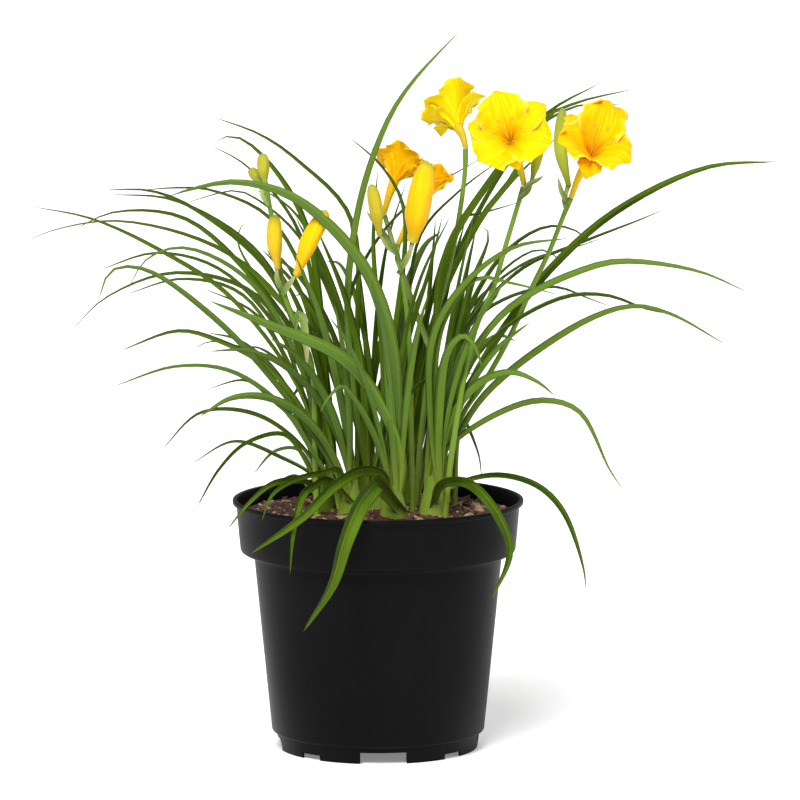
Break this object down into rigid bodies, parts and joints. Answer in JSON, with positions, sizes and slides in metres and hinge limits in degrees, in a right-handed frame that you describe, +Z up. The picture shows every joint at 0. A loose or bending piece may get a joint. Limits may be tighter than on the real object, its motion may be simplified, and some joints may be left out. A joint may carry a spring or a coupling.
{
  "type": "potted daylily plant",
  "caption": "Clump-forming daylily with arching strap leaves, yellow trumpet blooms and buds on leafless stalks, in a round nursery pot with soil.",
  "frame": {"origin": "centre of the flat disc in the middle of the pot's underside, on the pot's axis", "axes": "+Z up along the pot's axis, -Y toward the seen front, +X to the right as seen from the front"},
  "size_m": [0.573, 0.3237, 0.5484],
  "materials": {
    "pot_plastic": "moulded black plastic with a soft sheen",
    "bark_soil": "loose damp bark and peat",
    "leaf_green": "satin living leaf",
    "stem_green": "smooth living stem",
    "bud_yellow": "smooth waxy bud",
    "petal_yellow": "soft satin petal"
  },
  "bodies": {
    "root": {"pot": "pot_plastic", "soil": "bark_soil", "leaf_fan_left": "leaf_green", "leaf_fan_front_left": "leaf_green", "leaf_fan_front": "leaf_green", "leaf_fan_front_right": "leaf_green", "leaf_fan_right": "leaf_green", "leaf_fan_back_right": "leaf_green", "leaf_fan_back": "leaf_green", "leaf_fan_back_left": "leaf_green", "leaf_fan_middle": "leaf_green", "scape_left": "stem_green", "scape_middle": "stem_green", "scape_tall": "stem_green", "scape_front": "stem_green", "scape_right": "stem_green", "bud_left_upright": "bud_yellow", "bud_left_slanted": "bud_yellow", "bud_top_large": "bud_yellow", "bud_top_small": "bud_yellow", "bud_green": "bud_yellow", "bud_large": "bud_yellow", "bud_narrow": "bud_yellow", "bud_long": "bud_yellow", "bloom_front": "petal_yellow", "bloom_right": "petal_yellow", "bloom_behind": "petal_yellow", "bloom_turned": "petal_yellow", "bloom_half_open": "petal_yellow"}
  },
  "joints": []
}
